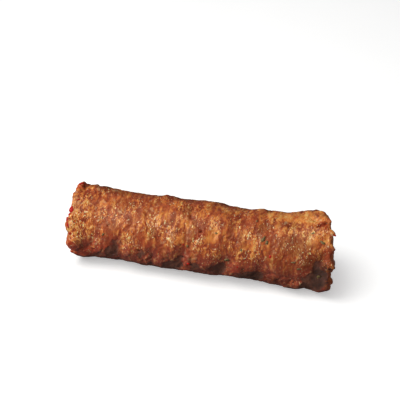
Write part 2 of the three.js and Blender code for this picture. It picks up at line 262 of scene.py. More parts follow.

# Grooves with painted shade: pixels of the two ends, half width and depth in millimetres.
GROOVES = [
    (92.4, 248, 94.4, 248.8, 0.5, 0.8), (108, 227.5, 110.5, 224.5, 0.6, 0.5),
    (137, 250, 141, 251, 0.6, 0.8), (155.5, 236, 157, 240, 0.6, 0.7), (180, 244, 180.5, 246, 0.55, 0.7),
    (182.8, 256.6, 184, 258, 0.6, 0.8), (186.5, 231, 186, 243, 1.6, 0.3),
    (191.5, 217.5, 202, 231.5, 1.8, 0.3), (193.2, 208.6, 193.6, 209.6, 0.5, 0.6),
    (200, 232.6, 201.2, 231, 0.6, 0.9), (213.5, 253.5, 214.5, 255, 0.6, 0.6),
    (318, 227.4, 327, 223.2, 0.75, 1.5),
]

# Glossy strands that stand out, with painted pale highlights: pixels of the two ends, half width and
# height in millimetres.
GLINTS = [
    (69.4, 222.5, 68, 231, 0.5, 0.1), (72, 220.5, 71.2, 226, 0.4, 0.1),
    (84.4, 213.6, 86.6, 211.4, 0.45, 0.1), (90, 228, 92, 224.6, 0.35, 0.1),
    (97.8, 222.5, 99.4, 219, 0.4, 0.15), (117.4, 211.6, 121, 213.8, 0.5, 0.15),
    (128, 221, 129, 219.8, 0.35, 0.1), (137.8, 232.8, 139, 229, 0.4, 0.1),
    (155, 220, 156.6, 215.5, 0.45, 0.1), (164.6, 225, 165.8, 220.5, 0.4, 0.1),
    (166.6, 240.4, 169.6, 238.4, 0.4, 0.1), (171.4, 202.4, 174.4, 205.4, 0.35, 0.15),
    (180.4, 217.5, 182.4, 215.4, 0.4, 0.1), (192.6, 251, 196, 246.5, 0.4, 0.15),
    (196.6, 244.5, 199.6, 238, 0.5, 0.2), (200.2, 241.5, 202.6, 235, 0.45, 0.2),
    (209.8, 231, 210.8, 228, 0.4, 0.1), (222.3, 225.8, 223.2, 224.8, 0.5, 0.1),
    (247.6, 240, 249.6, 233, 0.45, 0.1), (254, 252, 256, 247, 0.35, 0.1),
    (264.6, 260, 266.6, 255.4, 0.4, 0.1), (293.2, 233.8, 294, 233, 0.45, 0.1),
    (301.6, 284.6, 302.6, 283, 0.4, 0.1), (303, 262.4, 303.6, 260.8, 0.35, 0.1),
    (310, 240.5, 311.6, 236, 0.5, 0.1), (316.4, 222.4, 322.4, 221, 0.4, 0.15),
    (330, 232, 332.6, 236.6, 0.35, 0.1),
]

# Flecks: pixel, half length and half width in millimetres, turn in degrees.
HERBS_SEEN = [
    (263.2, 239.2, 1.6, 0.9, 60), (266.8, 242.6, 1.2, 0.8, 70), (226.8, 259.8, 1.3, 0.9, 20),
    (102.9, 234.3, 0.8, 0.5, 70), (322.2, 242.5, 1.5, 0.6, 150), (318.6, 277, 1.4, 1.1, 60),
    (187.3, 246.2, 0.8, 0.6, 80), (293.4, 262.4, 1.1, 0.5, 10), (298.3, 269, 1, 0.6, 20),
    (312.9, 233.5, 0.8, 0.5, 30), (216.3, 233.4, 0.7, 0.5, 0), (256.8, 221, 0.6, 0.5, 60),
    (241, 250, 0.8, 0.5, 90), (327.3, 223.6, 0.6, 0.4, 0),
]
PEPPERS_SEEN = [
    (270.4, 256.8, 0.85, 0.75, 0), (188.2, 263.8, 0.9, 0.7, 30), (183.4, 244.6, 0.6, 0.45, 0),
    (208.4, 216, 0.5, 0.4, 0), (79, 199.4, 0.6, 0.3, 0), (237.6, 267.3, 0.5, 0.4, 0),
]
RED_BITS_SEEN = [
    (71.4, 209.4, 1.2, 1.7, 0), (68, 225, 0.7, 1.4, 15), (67.4, 219, 0.7, 1.3, 0),
    (69.6, 214.6, 0.6, 0.9, 0), (81.2, 181.4, 1.3, 0.6, 30), (79, 199.4, 0.7, 0.4, 0),
    (328.2, 213.8, 0.8, 0.7, 0), (335, 235.4, 0.6, 0.4, 0), (336.2, 248.4, 0.7, 0.5, 0),
    (334.2, 226.6, 0.7, 0.6, 0), (70, 233.5, 0.5, 0.9, 0),
]

# How thick each kind of fleck is and how deep it sits, and how far flecks turn with the relief under them.
HERB_LAY = (0.14 * MM, -0.05 * MM)
PEPPER_LAY = (0.45 * MM, 0.15 * MM)
RED_BIT_LAY = (0.6 * MM, 0.2 * MM)
FLECK_FOLLOWS = 0.4

# Flecks drawn over the back: how many, the part of the length and the angles above the front where they
# lie, their half lengths, and their widths in parts of the length.
HERBS_DRAWN = 26
PEPPERS_DRAWN = 9
DRAWN_ALONG = 0.46
DRAWN_ANGLES = (125, 235)
DRAWN_LENGTH = (0.5 * MM, 1.1 * MM)
DRAWN_WIDTH = (0.5, 0.9)

# Shred of leaf: corners, how far they reach, how much it bends, and how much thicker its middle is.
LEAF_CORNERS = 9
LEAF_REACH = (0.7, 1.15)
LEAF_BEND = (0.1, 0.35)
LEAF_MIDDLE = 1.4

# Lump of pepper or meat: how uneven it is, and the size of its dents in parts of its own.
BLOB_UNEVEN = 0.28
BLOB_DENT = 0.8

# What the skin's finish reads at each point, beside the place round the roll.
MARKS = (
    "ridge", "tone", "torn", "painted_shade", "low", "sunk_shade", "groove", "glint", "golden", "browned_and_shaded", "crest", "wet",
    "reddened",
)

# Streaks in the finish of the mince: size along the roll, round it and outward, detail and roughness.
# Another noise bends them: its size and how far. The grit and the damp patches have no direction.
STREAKS = {
    "patch": ((5.5 * MM, 13 * MM, 8 * MM), 2.0, 0.5),
    "mottle": ((4.5 * MM, 9 * MM, 6 * MM), 2.0, 0.5),
    "mince": ((2.2 * MM, 7.5 * MM, 3.0 * MM), 2.0, 0.6),
    "fibre": ((0.75 * MM, 1.7 * MM, 1.0 * MM), 2.0, 0.75),
    "drops": ((0.42 * MM, 1.05 * MM, 0.6 * MM), 0.0, 0.5),
}
STREAK_BEND = (4 * MM, 2.4 * MM)
FINE_GRIT = 0.8 * MM
DAMP_PATCH = 8 * MM

# Colours on screen from 0 to 255. Stops run from the low to the high parts of the mince.
RED_STOPS = [(0.0, (125, 48, 31)), (0.35, (151, 65, 38)), (0.65, (179, 85, 48)), (1.0, (208, 130, 72))]
GOLD_STOPS = [(0.0, (153, 69, 37)), (0.35, (187, 94, 47)), (0.65, (212, 130, 62)), (1.0, (233, 179, 106))]
# Painted shade in the hollows, a little bluish, by the mince.
SHADED_HOLLOW_STOPS = [(0.3, (104, 67, 58)), (0.7, (138, 91, 74))]
# Tints over the colour: a painted bluish fill in the shade low down, a mottled tone, browning that is partly
# painted shade, painted shade on the crest, in recesses, on the lower side and deepest where browned, the
# torn mince lightened against the shade of its ends, red, painted shade in the grooves, and pale fat with
# painted glints.
TINTS = {
    "low": (148, 84, 90), "mottle": (126, 56, 28), "browned_and_shaded": (104, 42, 18), "crest": (96, 34, 16),
    "sunk_shade": (104, 38, 22), "torn": (208, 112, 66), "reddened": (192, 66, 34), "painted_shade": (118, 50, 42),
    "deepest_shade": (60, 42, 40), "groove": (118, 34, 24), "pale": (252, 230, 172),
}
HERB_STOPS = [(0.3, (92, 76, 46)), (0.5, (120, 98, 60)), (0.7, (150, 126, 84))]
PEPPER_STOPS = [(0.35, (150, 22, 14)), (0.65, (205, 44, 28))]
RED_BIT_STOPS = [(0.35, (150, 10, 6)), (0.65, (192, 22, 12))]

# Factors that scramble whole numbers into noise.
SCRAMBLES = (np.uint64(0x9E3779B97F4A7C15), np.uint64(0xBF58476D1CE4E5B9))


def hashed(cells, seed):
    """A number from 0 to 1 for each row of whole numbers, always the same for the same row and seed."""
    mixed = np.full(cells.shape[:-1], seed, dtype=np.uint64)
    for axis in range(cells.shape[-1]):
        mixed = (mixed ^ cells[..., axis].astype(np.uint64)) * SCRAMBLES[0]
        mixed ^= mixed >> np.uint64(29)
        mixed *= SCRAMBLES[1]
        mixed ^= mixed >> np.uint64(32)
    return (mixed >> np.uint64(11)).astype(float) / 2.0**53


def soft_noise(points, size, seed):
    """Smooth noise from -1 to 1 at each point, with features of about the size given."""
    scaled = points / size
    low = np.floor(scaled)
    part = scaled - low
    eased = part**3 * (part * (6 * part - 15) + 10)
    total = np.zeros(len(points))
    for corner in itertools.product((0, 1), repeat=points.shape[1]):
        cells = (low + corner).astype(np.int64)
        slopes = [2 * hashed(cells, seed + 1000 * (axis + 1)) - 1 for axis in range(points.shape[1])]
        rise = np.einsum("ij,ji->i", part - corner, np.array(slopes))
        total += rise * np.prod(np.where(corner, eased, 1 - eased), axis=1)
    return 2 * total


def noise_pair(points, size, seeds):
    """Two soft noises side by side."""
    return np.stack([soft_noise(points, size, seed) for seed in seeds], axis=1)


def between(ends, share):
    return ends[0] + (ends[1] - ends[0]) * share


def fade(values, low, high):
    """0 below low, 1 above high, and a smooth step between them."""
    part = np.clip((values - low) / (high - low), 0, 1)
    return part * part * (3 - 2 * part)


def packed_bumps(points, seed):
    """Heights of rounded bumps packed one to a cell, and a number that each bump has to itself."""
    low = np.floor(points)
    best = np.zeros(len(points))
    tone = np.full(len(points), 0.5)
    for step in itertools.product((-1, 0, 1), repeat=points.shape[1]):
        cells = (low + step).astype(np.int64)
        apart = np.zeros(len(points))
        for axis in range(points.shape[1]):
            centre = cells[:, axis] + between(BUMP_CENTRE, hashed(cells, seed + 11 * axis + 1))
            apart += (points[:, axis] - centre) ** 2
        reach = between(BUMP_REACH, hashed(cells, seed + 5))
        height = between(BUMP_HEIGHT, hashed(cells, seed + 6)) * (1 - apart / reach**2)
        higher = height > best
        best = np.where(higher, height, best)
        tone = np.where(higher, hashed(cells, seed + 7), tone)
    return best, tone


def shreds(flat, seed):
    """Heights of shreds strewn over each other, and a number that each shred has to itself."""
    cell = SHREDS["cell"]
    low = np.floor(flat / cell)
    best = np.zeros(len(flat))
    tone = np.full(len(flat), 0.5)
    for step in itertools.product(range(-2, 3), repeat=2):
        cells = (low + step).astype(np.int64)
        drawn = [hashed(cells, seed + 13 * i) for i in range(7)]
        away = flat - (cells + np.stack(drawn[:2], axis=1)) * cell
        turn = SHRED_LEAN + SHRED_STRAY * (2 * drawn[2] - 1)
        along = away[:, 0] * np.sin(turn) + away[:, 1] * np.cos(turn)
        across = away[:, 0] * np.cos(turn) - away[:, 1] * np.sin(turn)
        half_width = between(SHREDS["width"], drawn[3])
        half_length = between(SHREDS["length"], drawn[4])
        inside = 1 - (along / half_length) ** 2 - (across / half_width) ** 2
        height = between(SHREDS["height"], drawn[5]) * np.sqrt(np.clip(inside, 0, 1))
        higher = height > best
        best = np.where(higher, height, best)
        tone = np.where(higher, drawn[6], tone)
    return best, tone


def read(parts, name, width=3, kind=float):
    """A row of numbers for each of a mesh's parts."""
    flat = np.empty(len(parts) * width, dtype=kind)
    parts.foreach_get(name, flat)
    return flat.reshape(-1, width)


def write_points(mesh, points):
    mesh.vertices.foreach_set("co", points.ravel())
    mesh.update()


def give(mesh, name, values):
    """Writes numbers or vectors for the vertices as a named attribute."""
    values = np.asarray(values, dtype=np.float32)
    kind, field = ("FLOAT", "value") if values.ndim == 1 else ("FLOAT_VECTOR", "vector")
    mesh.attributes.new(name, kind, "POINT").data.foreach_set(field, values.ravel())


def shade_smooth(mesh):
    mesh.polygons.foreach_set("use_smooth", np.ones(len(mesh.polygons), dtype=bool))


def add_object(name, data):
    thing = bpy.data.objects.new(name, data)
    bpy.context.scene.collection.objects.link(thing)
    return thing


def surface_tree(thing):
    return BVHTree.FromObject(thing, bpy.context.evaluated_depsgraph_get())


def averaged(points, edges, rounds):
    """Each point moved halfway to the mean of its neighbours, so many times over."""
    count = len(points)
    ends = np.concatenate([edges[:, 0], edges[:, 1]])
    others = np.concatenate([edges[:, 1], edges[:, 0]])
    degree = np.bincount(ends, minlength=count)
    for _ in range(rounds):
        means = [np.bincount(ends, points[others, axis], count) / degree for axis in range(3)]
        points = 0.5 * points + 0.5 * np.stack(means, axis=1)
    return points


class PhotoView:
    """The camera's place and directions, and the rays through the pixels of the photograph."""

    def __init__(self):
        azimuth, elevation = math.radians(CAMERA_AZIMUTH), math.radians(CAMERA_ELEVATION)
        level = math.cos(elevation)
        self.back = Vector((math.sin(azimuth) * level, -math.cos(azimuth) * level, math.sin(elevation)))
        self.right = Vector((math.cos(azimuth), math.sin(azimuth), 0))
        self.up = self.back.cross(self.right)
        aim = Vector((0, 0, LOOK_HEIGHT)) + CAMERA_AIM[0] * self.right + CAMERA_AIM[1] * self.up
        self.eye = aim + CAMERA_DISTANCE * self.back

    def spot(self, tree, x, y):
        """The place on the skin that a pixel shows, or the nearest one to it, and the skin's normal."""
        across, down = (CAMERA_SENSOR / CAMERA_LENS * (value / PICTURE - 0.5) for value in (x, y))
        ray = across * self.right - down * self.up - self.back
        place, normal, _, _ = tree.ray_cast(self.eye, ray.normalized())
        if place is None:
            place, normal, _, _ = tree.find_nearest(self.eye + CAMERA_DISTANCE * ray)
        return place, normal


class Roll:
    """The middle line of the roll, fitted to its solid, and places measured from it."""

    def __init__(self, points):
        self.line = [np.polyfit(points[:, 0], points[:, axis], LINE_DEGREE) for axis in (1, 2)]
        self.half_length = float(np.abs(points[:, 0]).max())
        inner = np.abs(points[:, 0]) < INNER_PART * self.half_length
        self.radius = float(np.hypot(*self.offsets(points))[inner].mean())

    def offsets(self, points):
        """How far each point lies in front of the middle line and above it."""
        depth = np.polyval(self.line[0], points[:, 0]) - points[:, 1]
        height = points[:, 2] - np.polyval(self.line[1], points[:, 0])
        return depth, height

    def unrolled(self, points):
        """The length along X and the way round the roll, counted from its underside."""
        depth, height = self.offsets(points)
        angle = np.mod(np.arctan2(height, depth) + math.pi / 2, 2 * math.pi)
        return np.stack([points[:, 0], self.radius * angle], axis=1)

    def outward(self, place):
        """The way that the side of the roll faces at a place."""
        depth, height = self.offsets(np.array([place]))
        return Vector((0, -depth[0], height[0])).normalized()

    def spot(self, tree, along, degrees):
        """The place on the skin at a length along X and an angle above the front, and the skin's normal."""
        angle = math.radians(degrees)
        outward = Vector((0, -math.cos(angle), math.sin(angle)))
        middle = Vector((along, np.polyval(self.line[0], along), np.polyval(self.line[1], along)))
        place, normal, _, _ = tree.ray_cast(middle + 2 * self.radius * outward, -outward)
        if place is None:
            place, normal, _, _ = tree.find_nearest(middle + self.radius * outward)
        return place, normal


class Unrolled:
    """The skin laid flat, for finding how near each of its points is to what the photograph shows."""

    def __init__(self, points, roll, tree, view):
        self.roll, self.tree, self.view = roll, tree, view
        ragged = noise_pair(points, RAGGED[0], SEEDS["ragged"])
        flat = roll.unrolled(points)
        self.ragged = flat + RAGGED[1] * ragged
        self.wavy = flat + WAVY * ragged

    def place(self, x, y):
        point, _ = self.view.spot(self.tree, x, y)
        return self.roll.unrolled(np.array([point]))[0]

    def patches(self, seen, edge=PATCH_EDGE):
        """From 0 to 1 or more, how far each point belongs to the patches seen."""
        mask = np.zeros(len(self.ragged))
        for x, y, half_along, half_round, strength in seen:
            away = (self.ragged - self.place(x, y)) / (half_along * MM, half_round * MM)
            away[:, 0] -= SHRED_LEAN * away[:, 1] * half_round / half_along
            near = 1 - fade(np.hypot(away[:, 0], away[:, 1]), *edge)
            mask = np.maximum(mask, strength * near)
        return mask

    def strokes(self, seen):
        """The depth or height of strokes in metres, and from 0 to 1 how far each point belongs to one."""
        depth = np.zeros(len(self.wavy))
        mask = np.zeros(len(self.wavy))
        for x0, y0, x1, y1, half_width, deepest in seen:
            start, end = self.place(x0, y0), self.place(x1, y1)
            way = end - start
            share = np.clip((self.wavy - start) @ way / (way @ way), 0, 1)
            away = np.linalg.norm(self.wavy - start - share[:, None] * way, axis=1)
            taper = 1 - STROKE_TAPER * np.abs(2 * share - 1)
            near = 1 - fade(away / (half_width * MM * taper), *STROKE_EDGE)
            depth = np.maximum(depth, deepest * MM * near)
            mask = np.maximum(mask, near)
        return depth, mask


def fine_copy(node):
    """An even, closed, finely divided copy of a solid."""
    mesh = node.data.copy()
    welded = bmesh.new()
    welded.from_mesh(mesh)
    bmesh.ops.remove_doubles(welded, verts=welded.verts, dist=WELD)
    welded.to_mesh(mesh)
    welded.free()
    mesh.materials.clear()
    rough = add_object("meat_stick_skin", mesh)
    remesh = rough.modifiers.new("even", "REMESH")
    remesh.mode = "VOXEL"
    remesh.voxel_size = VOXEL
    graph = bpy.context.evaluated_depsgraph_get()
    even = bpy.data.meshes.new_from_object(rough.evaluated_get(graph))
    rough.modifiers.clear()
    rough.data = even
    return rough


def even_out(mesh, edges):
    """Smooths the solid's facets away, less so at the rims of its ends, and gives the new points."""
    sharp = averaged(read(mesh.vertices, "co"), edges, RIM_ROUNDS)
    smooth = averaged(sharp, edges, SMOOTH_ROUNDS)
    from_end = np.abs(sharp[:, 0]).max() - np.abs(sharp[:, 0])
    points = sharp + (smooth - sharp) * fade(from_end, *RIM_REACH)[:, None]
    write_points(mesh, points)
    return points


def mince_relief(points, roll, torn):
    """Height of the mince from 0 to 1, and a number that each shred or grain has to itself."""
    swirl = noise_pair(points, SWIRL[0], SEEDS["swirl"])
    ripple = noise_pair(points, RIPPLE[0], SEEDS["ripple"])
    flat = roll.unrolled(points) + SWIRL[1] * swirl + RIPPLE[1] * ripple
    side, side_tone = shreds(flat, SEEDS["shreds"])
    stirred = points + STIR * np.column_stack([ripple, swirl[:, 0]])
    grains, grain_tone = packed_bumps(stirred / GRAIN, SEEDS["grains"])
    fine_grains, _ = packed_bumps(stirred / FINE_GRAIN, SEEDS["fine grains"])
    from_end = roll.half_length - np.abs(points[:, 0])
    grainy = np.maximum(torn, GRAINY_RIM * (1 - fade(from_end, *GRAINY_REACH)))
    end = GRAIN_SHARE * grains + (1 - GRAIN_SHARE) * fine_grains
    tone = np.where(grainy > 0.5, grain_tone, side_tone)
    return side + (end - side) * grainy, tone


def lumps(seen):
    """Swelling of the lumps of pressed mince from -1 to 1, and from 0 to 1 the seams between them."""
    flat = seen.ragged
    leaning = np.column_stack([flat[:, 0] - LUMP_LEAN * flat[:, 1], flat[:, 1]])
    swell = soft_noise(leaning / LUMP, 1.0, SEEDS["lumps"])
    return swell, np.exp(-((swell / LUMP_SEAM) ** 2))


def painted_shade_amount(points, normals, torn, swell, lobe, hollow):
    """From 0 to 1, how much painted shade each point gets on the lower side and in its hollows."""
    facing = normals[:, 2]
    for (size, weight), seed in zip(DARK_NOISES, SEEDS["facing"]):
        facing = facing + weight * soft_noise(points, size, seed)
    facing = facing + DARK_LOBES * lobe - DARK_LOBES * hollow + DARK_LUMPS * swell
    return (1 - fade(facing, *DARK_FACING)) * (1 - TORN_LESS_SHADE * torn)


def crest_painted_shade(points, normals, torn, golden):
    """From 0 to 1, how much painted shade each point gets on the crest and, less so, on the back."""
    noise = soft_noise(points, CREST_NOISE[0], SEEDS["crest"])
    lit = normals @ np.array(LIT_SIDE) + CREST_NOISE[1] * noise
    upward = 1 - BACK_LESS * (1 - fade(normals[:, 2], *BACK_EDGE))
    return (1 - fade(lit, *CREST_EDGE)) * (1 - torn) * upward * (1 - GOLDEN_LESS * np.minimum(golden, 1))


def mince_marks(points, normals, roll, seen):
    """What the finish reads at each point, by name, and how far each point is lifted."""
    torn = fade(np.abs(normals[:, 0]), *TORN_FACING)
    hollow, lobe = seen.patches(HOLLOWS, HOLLOW_EDGE), seen.patches(LOBES, LOBE_EDGE)
    groove_depth, groove = seen.strokes(GROOVES)
    glint_rise, glint = seen.strokes(GLINTS)
    ridge, tone = mince_relief(points, roll, torn)
    swell, seam = lumps(seen)
    painted_shade = painted_shade_amount(points, normals, torn, swell, lobe, hollow)
    relief = RELIEF * (1 - DARK_FLATTER * painted_shade) + (TORN_RELIEF - RELIEF) * torn
    lift = relief * (ridge - RELIEF_LEVEL) + STAND_OUT
    lift += LUMP_RISE * (1 - torn) * (SWELL_SHARE * swell + LEVEL_SHARE - SEAM_SHARE * seam)
    lift += LOBE_RISE * lobe - DARK_SINK * painted_shade * np.minimum(hollow, 1) + glint_rise - groove_depth
    lift += MM * seen.patches(PUFFS)
    lift -= TORN_SINK * torn * fade(soft_noise(points, TORN_DENT, SEEDS["torn"]), *TORN_DENT_EDGE)
    golden = seen.patches(GOLDEN)
    round_it = np.column_stack([roll.unrolled(points), np.hypot(*roll.offsets(points))])
    marks = {
        "round": round_it + torn[:, None] * (points - round_it),
        "ridge": ridge,
        "tone": tone,
        "torn": torn,
        "painted_shade": painted_shade,
        "low": (1 - fade(normals[:, 2], *LOW_FACING)) * (1 - torn),
        "groove": groove,
        "glint": glint,
        "golden": golden,
        "browned_and_shaded": seen.patches(BROWNED_AND_SHADED),
        "crest": crest_painted_shade(points, normals, torn, golden),
        "wet": seen.patches(WET),
        "reddened": seen.patches(REDDENED),
    }
    return marks, lift


def make_skin(node, view):
    """The skin of the stick, with the relief of the mince in its mesh and what its finish reads."""
    skin = fine_copy(node)
    mesh = skin.data
    edges = read(mesh.edges, "vertices", 2, np.int64)
    lowest = read(mesh.vertices, "co")[:, 2].min()
    points = even_out(mesh, edges)
    roll = Roll(points)
    broad = averaged(points, edges, BROAD_ROUNDS)
    seen = Unrolled(points, roll, surface_tree(skin), view)
    points = points + (broad - points) * np.minimum(seen.patches(SOFTENED), 1)[:, None]
    write_points(mesh, points)
    normals = read(mesh.vertex_normals, "vector")
    seen = Unrolled(points, roll, surface_tree(skin), view)
    marks, lift = mince_marks(points, normals, roll, seen)
    # Painted shade in recesses: how far each point lies below the broad form, in millimetres.
    marks["sunk_shade"] = np.einsum("ij,ij->i", broad - points, normals) / MM
    low, high = (np.array(corner) for corner in CAD_BOX)
    shaped = np.clip(points + lift[:, None] * normals, low, high)
    shaped[points[:, 2] < lowest + FOOT_HEIGHT, 2] = low[2]
    write_points(mesh, shaped)
    for name, values in marks.items():
        give(mesh, name, values)
    shade_smooth(mesh)
    return skin, roll


def spots_seen(seen, view, roll, tree):
    """Place, normal, half length, half width and turn of each fleck that the photograph shows."""
    found = []
    for x, y, half_length, half_width, degrees in seen:
        place, normal = view.spot(tree, x, y)
        facing = (roll.outward(place) + FLECK_FOLLOWS * normal).normalized()
        found.append((place, facing, half_length * MM, half_width * MM, math.radians(degrees)))
    return found


def spots_drawn(count, roll, tree, rng):
    """Flecks like those, drawn over the back, which the photograph doesn't show."""
    found = []
    half = DRAWN_ALONG * (CAD_BOX[1].x - CAD_BOX[0].x)
    for _ in range(count):
        place, normal = roll.spot(tree, rng.uniform(-half, half), rng.uniform(*DRAWN_ANGLES))
        length = rng.uniform(*DRAWN_LENGTH)
        found.append((place, normal, length, rng.uniform(*DRAWN_WIDTH) * length, rng.uniform(0, math.pi)))
    return found


def lay(shape, place, normal, turn, sink):
    """Lays a small shape flat on the skin, its length turned so far from the roll's."""
    side = Vector((1, 0, 0))
    side = (side - side.dot(normal) * normal).normalized()
    facing = Matrix((side, normal.cross(side), normal)).transposed().to_4x4()
    spin = Matrix.Rotation(turn, 4, "Z")
    move = Matrix.Translation(place - sink * normal)
    bmesh.ops.transform(shape, matrix=move @ facing @ spin, verts=shape.verts)


def leaf_shape(size, rng):
    """A shred of dried leaf: a thin, bent plate with an uneven outline."""
    half_length, half_width, thickness = size
    shred = bmesh.new()
    reach = [rng.uniform(*LEAF_REACH) for _ in range(LEAF_CORNERS)]
    bend = rng.uniform(*LEAF_BEND) / half_length
    rims = []
    for side in (1, -1):
        rim = []
        for corner, scale in enumerate(reach):
            angle = 2 * math.pi * corner / LEAF_CORNERS
            x, y = scale * half_length * math.cos(angle), scale * half_width * math.sin(angle)
            rim.append(shred.verts.new((x, y, side * thickness / 2 + bend * x * x)))
        rims.append(rim)
    top, bottom = rims
    tips = [shred.verts.new((0, 0, side * thickness / 2)) for side in (LEAF_MIDDLE, -1)]
    for i in range(LEAF_CORNERS):
        j = (i + 1) % LEAF_CORNERS
        shred.faces.new((tips[0], top[i], top[j]))
        shred.faces.new((tips[1], bottom[j], bottom[i]))
        shred.faces.new((top[i], bottom[i], bottom[j], top[j]))
    return shred


def blob_shape(size, rng):
    """A soft, uneven lump."""
    lump = bmesh.new()
    bmesh.ops.create_icosphere(lump, subdivisions=3, radius=1)
    offset = rng.uniform(0, 100)
    places = np.array([vert.co for vert in lump.verts])
    swell = 1 + BLOB_UNEVEN * soft_noise(places + offset, BLOB_DENT, SEEDS["blob"])
    for vert, scale in zip(lump.verts, swell):
        vert.co = Vector((vert.co.x * size[0], vert.co.y * size[1], vert.co.z * size[2])) * scale
    return lump


def scatter(name, spots, make_shape, thickness, sink, rng):
    """One piece of many small shapes laid on the skin."""
    joined = bmesh.new()
    for place, normal, half_length, half_width, turn in spots:
        shape = make_shape((half_length, half_width, thickness), rng)
        lay(shape, place, normal, turn, sink)
        part = bpy.data.meshes.new("part")
        shape.to_mesh(part)
        shape.free()
        joined.from_mesh(part)
        bpy.data.meshes.remove(part)
    for vert in joined.verts:
        vert.co.z = max(vert.co.z, CAD_BOX[0].z)
    bmesh.ops.recalc_face_normals(joined, faces=joined.faces)
    mesh = bpy.data.meshes.new(name)
    joined.to_mesh(mesh)
    joined.free()
    shade_smooth(mesh)
    return add_object(name, mesh)


def linear(colour):
    """A screen colour from 0 to 255, as light."""
    parts = []
    for part in colour:
        share = part / 255
        parts.append(share / 12.92 if share <= 0.04045 else ((share + 0.055) / 1.055) ** 2.4)
    return (*parts, 1.0)


class Finish:
    """A new material and short ways to add nodes to it."""

    def __init__(self, name):
        self.material = bpy.data.materials.new(name)
        self.material.use_nodes = True
        self.nodes = self.material.node_tree.nodes
        self.links = self.material.node_tree.links
        self.shader = self.nodes["Principled BSDF"]

    def add(self, kind, inputs=(), **settings):
        """A new node with its settings, and with its inputs linked or set."""
        node = self.nodes.new(kind)
        for name, value in settings.items():
            setattr(node, name, value)
        self.feed(node, inputs)
        return node

    def feed(self, node, inputs):
        """Links inputs to the sockets given for them, and sets the others to their constant values."""
        for name, value in dict(inputs).items():
            if isinstance(value, bpy.types.NodeSocket):
                self.links.new(value, node.inputs[name])
            else:
                node.inputs[name].default_value = value

    def attribute(self, name, output="Fac"):
        return self.add("ShaderNodeAttribute", attribute_name=name).outputs[output]

    def combine(self, operation, first, second, clamp=False):
        inputs = {0: first, 1: second}
        return self.add("ShaderNodeMath", inputs, operation=operation, use_clamp=clamp).outputs[0]

    def times(self, first, second, clamp=False):
        return self.combine("MULTIPLY", first, second, clamp)

    def larger(self, first, second):
        return self.combine("MAXIMUM", first, second)

    def weighted(self, parts, start=0.0, clamp=False):
        """A sum of values, each times its weight."""
        total = start
        for value, weight in parts:
            node = self.add("ShaderNodeMath", operation="MULTIPLY_ADD")
            self.feed(node, {0: value, 1: weight, 2: total})
            total = node.outputs[0]
        node.use_clamp = clamp
        return total

    def spread(self, value, low, high, to_low=0.0, to_high=1.0):
        """A smooth step from one number to another, while a value goes from low to high."""
        inputs = {"Value": value, "From Min": low, "From Max": high, "To Min": to_low, "To Max": to_high}
        return self.add("ShaderNodeMapRange", inputs, interpolation_type="SMOOTHSTEP").outputs["Result"]

    def noise(self, size, detail, roughness=0.5, output="Fac"):
        """Noise with features of about the size given."""
        place = self.add("ShaderNodeTexCoord").outputs["Object"]
        inputs = {"Vector": place, "Scale": 1 / size, "Detail": detail, "Roughness": roughness}
        return self.add("ShaderNodeTexNoise", inputs).outputs[output]

    def streaks(self, size, detail, roughness):
        """Noise drawn out round the roll. The size is along the roll, round it and outward."""
        bend, reach = STREAK_BEND
        bent = self.add("ShaderNodeVectorMath", operation="MULTIPLY_ADD")
        drift = self.noise(bend, 1.0, output="Color")
        self.feed(bent, {0: drift, 1: (reach, reach, reach), 2: self.attribute("round", "Vector")})
        scaled = self.add("ShaderNodeVectorMath", {0: bent.outputs["Vector"], 1: size}, operation="DIVIDE")
        inputs = {"Vector": scaled.outputs["Vector"], "Scale": 1.0, "Detail": detail, "Roughness": roughness}
        return self.add("ShaderNodeTexNoise", inputs).outputs["Fac"]

    def ramp(self, value, stops):
        """Colours by a value, between stops of a position and a screen colour."""
        node = self.add("ShaderNodeValToRGB", {"Fac": value})
        marks = node.color_ramp.elements
        while len(marks) < len(stops):
            marks.new(0.5)
        for mark, (position, colour) in zip(marks, stops):
            mark.position = position
            mark.color = linear(colour)
        return node.outputs["Color"]

    def blend(self, share, first, second):
        node = self.add("ShaderNodeMix", data_type="RGBA")
        self.feed(node, {"Factor": share, "A": first, "B": second})
        return node.outputs["Result"]

    def bump(self, height, strength, distance, below=None):
        node = self.add("ShaderNodeBump", {"Height": height, "Strength": strength, "Distance": distance})
        if below is not None:
            self.feed(node, {"Normal": below})
        return node.outputs["Normal"]


def crust_grain(finish, marks):
    """Noises of the mince by name, and how lively its wet strands and drops are."""
    grain = {name: finish.streaks(*settings) for name, settings in STREAKS.items()}
    grain["fine"] = finish.noise(FINE_GRIT, 3.0, 0.6)
    damp = finish.spread(finish.noise(DAMP_PATCH, 1.0), 0.40, 0.64)
    lively = finish.weighted([(damp, 0.75), (marks["wet"], 1.1)], 0.22)
    lively = finish.combine("MINIMUM", lively, 1.15)
    lively = finish.times(lively, finish.spread(marks["painted_shade"], 0.1, 0.8, 1.0, 0.15))
    grain["lively"] = finish.times(lively, finish.spread(marks["low"], 0.2, 1.0, 1.0, 0.6))
    return grain


def fried_colour(finish, marks, grain):
    """Gold over red-brown, by the height of the mince."""
    strand = finish.weighted([(grain["fibre"], 2.2), (grain["fine"], 0.35)], -1.28)
    wisp = finish.times(grain["lively"], strand)
    parts = [(grain["mince"], 1.4), (marks["ridge"], 0.12), (marks["golden"], 0.16), (wisp, 1.0)]
    height = finish.weighted(parts, -0.30)
    parts = [(height, 1.4), (grain["patch"], 1.1)]
    parts += [(marks["golden"], 0.35), (marks["reddened"], -0.7), (marks["low"], -0.30)]
    share = finish.spread(finish.weighted(parts), 0.95, 1.75)
    return finish.blend(share, finish.ramp(height, RED_STOPS), finish.ramp(height, GOLD_STOPS))


